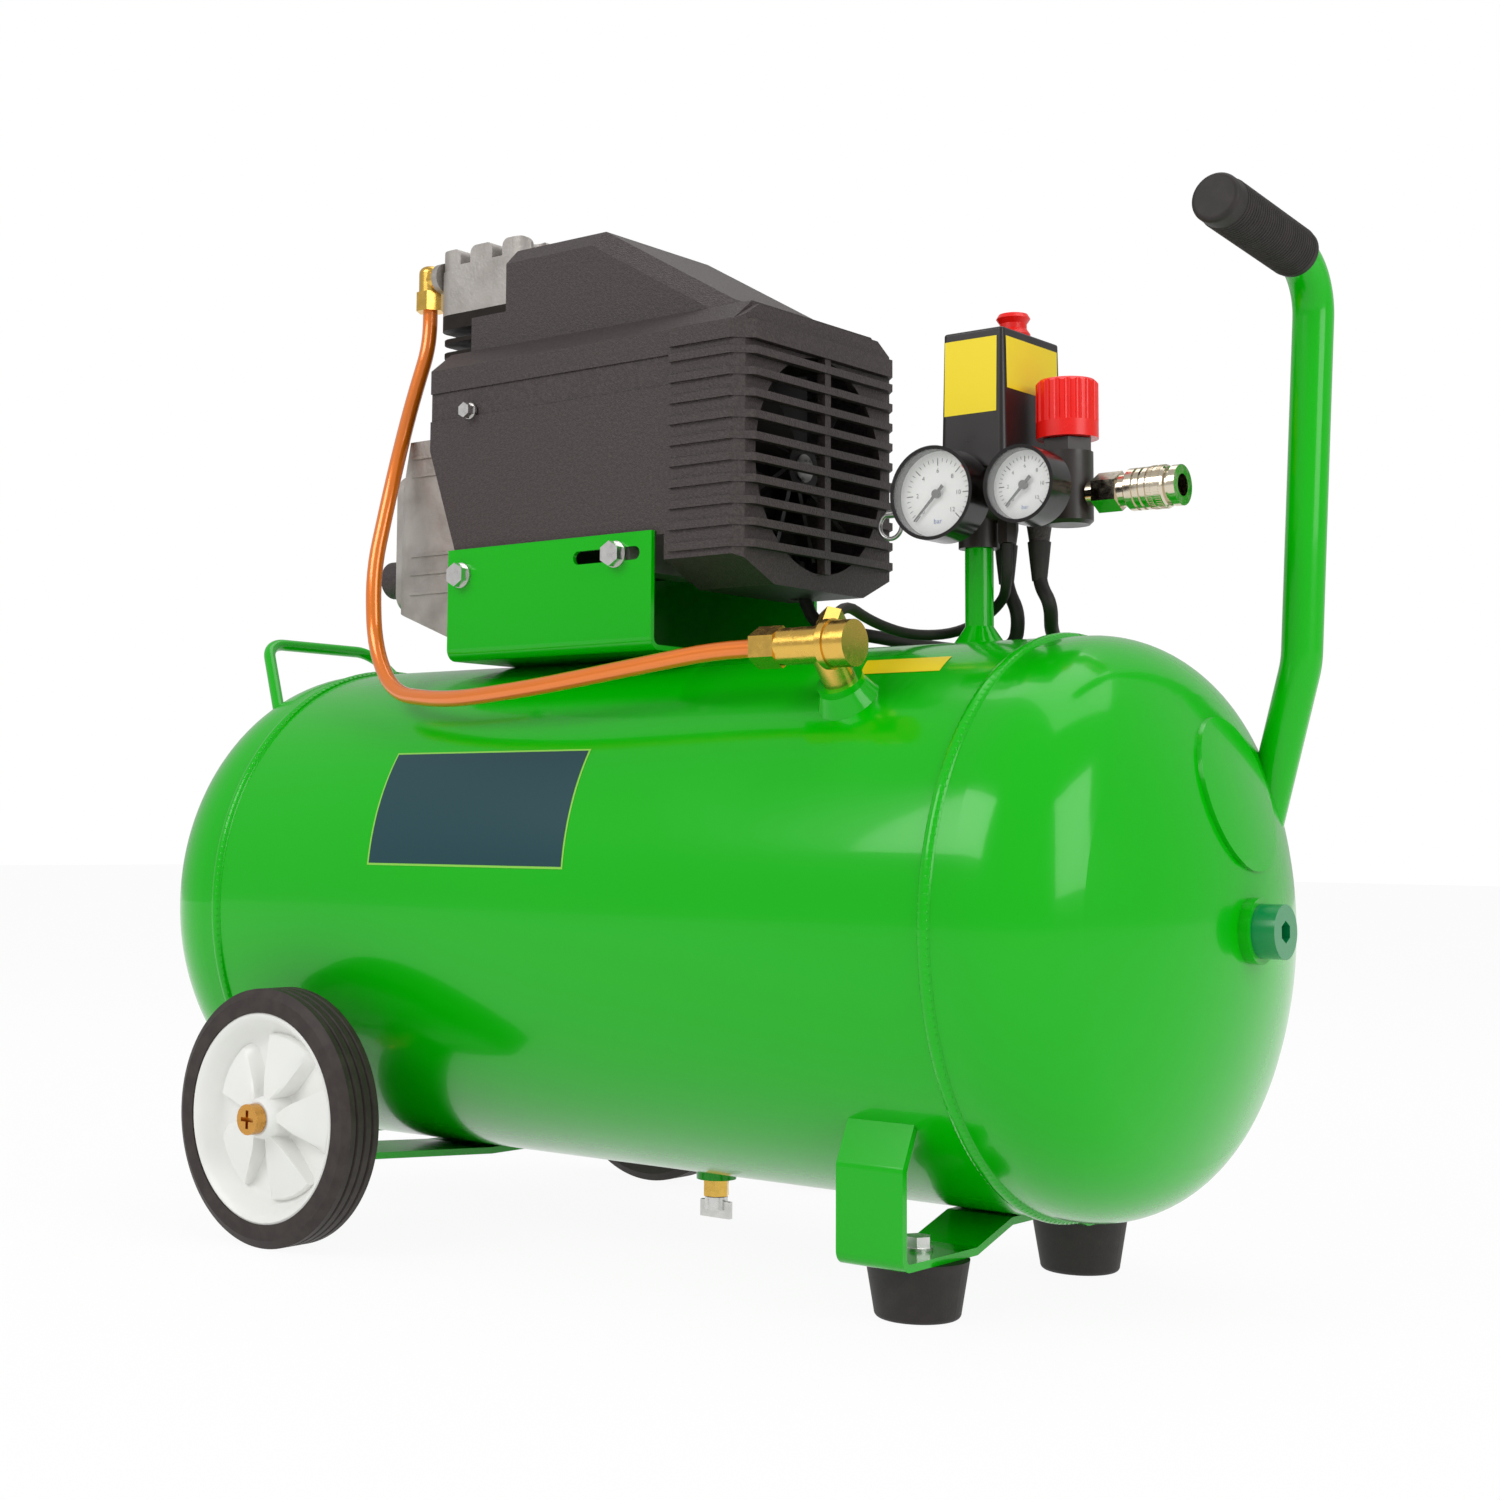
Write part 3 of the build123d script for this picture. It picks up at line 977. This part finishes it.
def pressure_switch():
    """Switch housing: a drafted cover over a base plate."""
    x, y = (SWITCH_X0 + SWITCH_X1) / 2, (SWITCH_Y0 + SWITCH_Y1) / 2
    width, depth = SWITCH_X1 - SWITCH_X0, SWITCH_Y1 - SWITCH_Y0
    height = SWITCH_Z1 - SWITCH_Z0 - SWITCH_BASE
    cover = extrude(RectangleRounded(width, depth, 4), height, taper=SWITCH_DRAFT)
    cover = fillet(cover.faces().sort_by(Axis.Z)[-1].edges(), 1.5)
    cover -= extrude(RectangleRounded(width - 2 * WALL, depth - 2 * WALL, 2), height - WALL, taper=SWITCH_DRAFT)
    cover = Pos(x, y, SWITCH_Z0 + SWITCH_BASE) * cover
    cover -= rod((PULL_X, PULL_Y, SWITCH_Z1 - 10), (PULL_X, PULL_Y, SWITCH_Z1 + 1), 4 + RUN)
    base = Pos(x, y, SWITCH_Z0) * extrude(RectangleRounded(width, depth, 4), SWITCH_BASE)
    return [cover, base]


def switch_knob():
    """Pull-up on-off knob with a waist."""
    low = SWITCH_Z1 + GAP
    outline = [(0, low), (PULL_R, low), (PULL_R, low + 3), (PULL_R - 2, low + 6), (PULL_R - 2, low + 9),
               (PULL_R, low + 12), (PULL_R - 1.5, PULL_TOP), (0, PULL_TOP)]
    knob = revolve(Plane.XZ * make_face(Polyline(*outline, close=True)), Axis.Z)
    return Pos(PULL_X, PULL_Y, 0) * (knob + rod((0, 0, SWITCH_Z1 - 14), (0, 0, low), 4))


def cable_glands():
    glands = []
    for x, y in GLANDS:
        gland = rod((x, y, GLAND_BOTTOM + 10), (x, y, SWITCH_Z0), 7)
        gland += hex_bar((x, y, GLAND_BOTTOM + 16), (x, y, GLAND_BOTTOM + 24), 16)
        gland += taper((x, y, GLAND_BOTTOM), (x, y, GLAND_BOTTOM + 10), 5.5, 7)
        glands.append(gland - rod((x, y, GLAND_BOTTOM - 1), (x, y, GLAND_BOTTOM + CORD_IN_GLAND), CORD_R))
    return glands


def regulator_body():
    body = rod((REGULATOR_X, 0, 417), (REGULATOR_X, 0, 457), REGULATOR_R)
    body = chamfer(body.faces().sort_by(Axis.Z)[0].edges(), 2)
    body += hex_bar((REGULATOR_X, 0, 457), (REGULATOR_X, 0, KNOB_Z0 - GAP), 25)
    body += rod((REGULATOR_X, 0, 457), (REGULATOR_X, 0, KNOB_Z1 - 12), 8)
    body += rod((REGULATOR_X, 0, AIR_Z), (REGULATOR_X, GAUGE_BACK_Y, AIR_Z), 5)
    body -= rod((MANIFOLD_X1 - 2, 0, AIR_Z), (MANIFOLD_X1, 0, AIR_Z), MANIFOLD_R + 1)
    return body - rod((REGULATOR_X, 0, AIR_Z), (REGULATOR_X + REGULATOR_R, 0, AIR_Z), 4)


def regulator_knob():
    """Fluted knob that turns on the regulator's spindle."""
    knob = rod((0, 0, KNOB_Z0), (0, 0, KNOB_Z1), KNOB_R)
    knob = chamfer(knob.faces().sort_by(Axis.Z)[-1].edges(), 2)
    for number in range(KNOB_FLUTES):
        flute = rod((KNOB_R + 1, 0, KNOB_Z0 + 9), (KNOB_R + 1, 0, KNOB_Z1 + 1), 2.2)
        knob -= Rot(0, 0, 360 * number / KNOB_FLUTES) * flute
    knob -= rod((0, 0, KNOB_Z0), (0, 0, KNOB_Z1 - 12 + GAP), 8 + RUN)
    return Pos(REGULATOR_X, 0, 0) * knob


def gauge_places():
    return [(TANK_GAUGE_X, TANK_GAUGE_R), (REGULATOR_X + 1, OUTLET_GAUGE_R)]


def gauge_cases():
    """Two round gauge cases, each with its dial plate inside."""
    pieces = []
    for x, radius in gauge_places():
        case = rod((x, GAUGE_BACK_Y, AIR_Z), (x, GAUGE_FACE_Y, AIR_Z), radius)
        case = chamfer(case.faces().sort_by(Axis.Y)[-1].edges(), 3)
        case -= rod((x, GAUGE_BACK_Y - 2, AIR_Z), (x, GAUGE_FACE_Y, AIR_Z), radius - BEZEL)
        dial = rod((x, DIAL_Y + 1, AIR_Z), (x, DIAL_Y, AIR_Z), radius - BEZEL)
        pieces += [case, dial - rod((x, DIAL_Y + 2, AIR_Z), (x, DIAL_Y - 1, AIR_Z), 1 + RUN)]
    return pieces


def gauge_lenses():
    face = GAUGE_FACE_Y + 0.8
    return [rod((x, face, AIR_Z), (x, face + 1.5, AIR_Z), radius - BEZEL) for x, radius in gauge_places()]


def needle(which):
    """Pointer on its shaft, resting at zero on the lower left of the dial."""
    x, radius = gauge_places()[which]
    reach = radius - BEZEL - 4
    hand = prism_y([(-1, -6), (1, -6), (0.4, reach), (-0.4, reach)], DIAL_Y - 2.6, DIAL_Y - 2)
    hand = hand + rod((0, DIAL_Y - 3.2, 0), (0, DIAL_Y - 1, 0), 2.4) + rod((0, DIAL_Y - 2, 0), (0, DIAL_Y + 2.5, 0), 1)
    return Pos(x, 0, AIR_Z) * Rot(0, -135, 0) * hand


def safety_valve():
    """Brass safety valve screwed into the manifold's free end."""
    body = hex_bar((178, 0, AIR_Z), (MANIFOLD_X0, 0, AIR_Z), 17)
    body += rod((158, 0, AIR_Z), (178, 0, AIR_Z), 7.5)
    body += rod((MANIFOLD_X0, 0, AIR_Z), (MANIFOLD_X0 + 8, 0, AIR_Z), 5)
    return body - rod((157, 0, AIR_Z), (174, 0, AIR_Z), 2.5 + RUN)


def safety_ring():
    """Pull ring on the safety valve's stem."""
    stem = rod((143, 0, AIR_Z), (170, 0, AIR_Z), 2.5)
    return stem + Pos(145, 0, AIR_Z - 7) * Rot(90, 0, 0) * Torus(7.5, 1.3)


def coupler_body():
    """Quick coupler: hexagon, sleeve seat and open mouth."""
    face = REGULATOR_X + REGULATOR_R
    body = rod((face, 0, AIR_Z), (COUPLER_X0, 0, AIR_Z), 7) + hex_bar((COUPLER_X0, 0, AIR_Z), (293, 0, AIR_Z), 19)
    body += rod((293, 0, AIR_Z), (COUPLER_X1, 0, AIR_Z), SLEEVE_BORE_R)
    body += rod((COUPLER_X1 - 4, 0, AIR_Z), (COUPLER_X1, 0, AIR_Z), SLEEVE_R - 0.5)
    body += rod((face - 8, 0, AIR_Z), (face, 0, AIR_Z), 4)
    body -= rod((face - 8, 0, AIR_Z), (COUPLER_X1, 0, AIR_Z), 2.5)
    return body - rod((COUPLER_X1 - COUPLER_DEPTH, 0, AIR_Z), (COUPLER_X1, 0, AIR_Z), COUPLER_BORE_R)


def coupler_sleeve():
    """Knurled sleeve that slides back to let go of a plug."""
    sleeve = rod((SLEEVE_X0, 0, AIR_Z), (SLEEVE_X1, 0, AIR_Z), SLEEVE_R)
    sleeve = chamfer(sleeve.edges().filter_by(GeomType.CIRCLE), 1)
    for x in (SLEEVE_X0 + 5, SLEEVE_X0 + 9, SLEEVE_X0 + 13):
        ring = rod((x, 0, AIR_Z), (x + 1.6, 0, AIR_Z), SLEEVE_R + 1)
        sleeve -= ring - rod((x - 1, 0, AIR_Z), (x + 3, 0, AIR_Z), SLEEVE_R - 0.8)
    return sleeve - rod((SLEEVE_X0 - 1, 0, AIR_Z), (SLEEVE_X1 + 1, 0, AIR_Z), SLEEVE_BORE_R + RUN)


# ---------------------------------------------------------------- cords
def gland_route(gland, points):
    """The points with the inside of a gland put at their end."""
    x, y = GLANDS[gland]
    return points + [(x, y, GLAND_BOTTOM + CORD_IN_GLAND)]


def motor_cable():
    return tube_along("motor cable", gland_route(0, MOTOR_CABLE_ROUTE), CORD_R)


def power_cord():
    return tube_along("power cord", gland_route(1, POWER_ROUTE[::-1])[::-1], CORD_R)


def power_tail():
    start = coil_point(COIL_TURNS) + Vector(-2 * CORD_R, 0, 0)
    ahead = start + Vector(-TAIL_START, 0, 0)
    return tube_along("power tail", [tuple(start), tuple(ahead)] + TAIL_ROUTE, CORD_R)


def coil_point(turns):
    """Middle line of the coil: two turns inwards on the floor, then outwards on top of them."""
    if turns < COIL_TURN_IN:
        radius, height = COIL_R0 - COIL_PITCH * turns, CORD_R
    else:
        past = turns - COIL_TURN_IN
        inner = COIL_R0 - COIL_PITCH * (COIL_TURN_IN + COIL_RISE)
        rise = min(past / COIL_RISE, 1)
        height = CORD_R + COIL_PITCH * (1 - cos(pi * rise)) / 2
        if past < COIL_RISE:
            radius = COIL_R0 - COIL_PITCH * turns
        else:
            whole, share = divmod(past - COIL_RISE, 1)
            radius = inner + COIL_PITCH * (whole + min(share / (1 - COIL_RISE), 1))
    angle = -pi / 2 - 2 * pi * turns
    return Vector(COIL_MIDDLE[0] + radius * cos(angle), COIL_MIDDLE[1] + radius * sin(angle), height)


def coil_direction(turns):
    step = 0.002
    return (coil_point(turns + step) - coil_point(turns - step)).normalized()


def biarc(start, start_direction, end, end_direction):
    """Two arcs that join two points with the given directions, smooth where they meet."""
    chord = end - start
    both = start_direction + end_direction
    spread = 2 * (1 - start_direction.dot(end_direction))
    reach = (sqrt(chord.dot(both) ** 2 + spread * chord.dot(chord)) - chord.dot(both)) / spread
    first, second = start + start_direction * reach, end - end_direction * reach
    middle = (first + second) / 2
    return [TangentArc(start, middle, tangent=start_direction),
            TangentArc(middle, end, tangent=second - first)]


def power_coil():
    """The put-away length of the power cord: one unbroken tube."""
    steps = int(COIL_TURNS * COIL_STEPS_PER_TURN)
    stops = [number / COIL_STEPS_PER_TURN for number in range(steps + 1)]
    flat_start, flat_end = Vector(-1, 0, 0), Vector(-1, 0, 0)
    places = [coil_point(t) for t in stops]
    directions = [coil_direction(t) for t in stops]
    directions[0], directions[-1] = flat_start, flat_end
    edges = [Line(places[0] - flat_start * 2 * CORD_R, places[0])]
    for number in range(steps):
        edges += biarc(places[number], directions[number], places[number + 1], directions[number + 1])
    edges.append(Line(places[-1], places[-1] + flat_end * 2 * CORD_R))
    path = Wire(edges)
    tube = bar_along(path, Circle(CORD_R))
    print(f"power coil: length {path.length:.0f}, volume share {tube.volume / (pi * CORD_R ** 2 * path.length):.4f}, "
          f"least gap {least_self_gap(path):.2f}, ends at {places[-1] + flat_end * 2 * CORD_R}")
    return tube


def least_self_gap(path):
    """Smallest distance between parts of the tube that are over half a turn apart."""
    count = 700
    points = [path.position_at(number / count) for number in range(count + 1)]
    skip = int(count / COIL_TURNS / 2)
    least = min((a - b).length for i, a in enumerate(points) for b in points[i + skip:])
    return least - 2 * CORD_R


def power_plug():
    """Two-pin earthed plug at the end of the tail."""
    end, before = Vector(*TAIL_ROUTE[-1]), Vector(*TAIL_ROUTE[-2])
    ahead = (end - before).normalized()
    plug = taper(end - ahead * 14, end + ahead * 10, 6, 8) + taper(end + ahead * 6, end + ahead * 34, 11, 17)
    plug += rod(end + ahead * 34, end + ahead * 44, PLUG_R)
    plug -= rod(end - ahead * 15, end, CORD_R)
    side = ahead.cross(Vector(0, 0, 1)) * 9.5
    for offset in (side, side * -1):
        plug += rod(end + ahead * 40 + offset, end + ahead * 63 + offset, 2.4)
    return plug


# ---------------------------------------------------------------- build
PARTS = {
    "tank_shell": tank_shell, "tank_head_left": tank_head_left, "tank_head_right": tank_head_right,
    "tank_weldments": tank_weldments, "end_plug": end_plug, "drain_cock": drain_cock, "drain_knob": drain_knob,
    "wheel_bracket": wheel_bracket, "axle_bolts": axle_bolts, "foot_bracket": foot_bracket,
    "rubber_feet": rubber_feet, "handle_tube": handle_tube, "handle_grip": handle_grip,
    "lifting_loop": lifting_loop, "saddle": saddle, "hex_bolts": hex_bolts,
    "tyre_front": lambda: tyre(-1), "tyre_back": lambda: tyre(1),
    "rim_front": lambda: rim(-1), "rim_back": lambda: rim(1),
    "crankcase": crankcase, "crankcase_cover": crankcase_cover, "oil_fittings": oil_fittings,
    "cylinder": cylinder, "valve_plate": valve_plate, "cylinder_head": cylinder_head,
    "intake_filter": intake_filter, "crank": crank, "con_rod": con_rod, "piston": piston,
    "stator": stator, "rotor": rotor, "fan": fan, "end_shield": end_shield, "bearings": bearings,
    "shroud": shroud, "fan_guard": fan_guard, "discharge_elbow": discharge_elbow,
    "delivery_pipe": delivery_pipe, "check_valve": check_valve, "unloader_tube": unloader_tube,
    "manifold": manifold, "pressure_switch": pressure_switch, "switch_knob": switch_knob,
    "cable_glands": cable_glands, "regulator_body": regulator_body, "regulator_knob": regulator_knob,
    "gauge_cases": gauge_cases, "gauge_lenses": gauge_lenses,
    "needle_tank": lambda: needle(0), "needle_outlet": lambda: needle(1),
    "safety_valve": safety_valve, "safety_ring": safety_ring,
    "coupler_body": coupler_body, "coupler_sleeve": coupler_sleeve,
    "motor_cable": motor_cable, "power_cord": power_cord, "power_coil": power_coil,
    "power_tail": power_tail, "power_plug": power_plug,
}

os.makedirs("parts", exist_ok=True)
for name, make in PARTS.items():
    made = make()
    pieces = made if isinstance(made, list) else [made]
    solids = [Location((-MACHINE_MIDDLE, 0, 0)) * solid for piece in pieces for solid in piece.solids()]
    whole = solids[0] if len(solids) == 1 else Compound(solids)
    export_step(whole, f"parts/{name}.step")
    box = whole.bounding_box()
    print(f"{name}: {len(solids)} solid(s), x {box.min.X:.1f} {box.max.X:.1f}, y {box.min.Y:.1f} {box.max.Y:.1f}, "
          f"z {box.min.Z:.1f} {box.max.Z:.1f}")
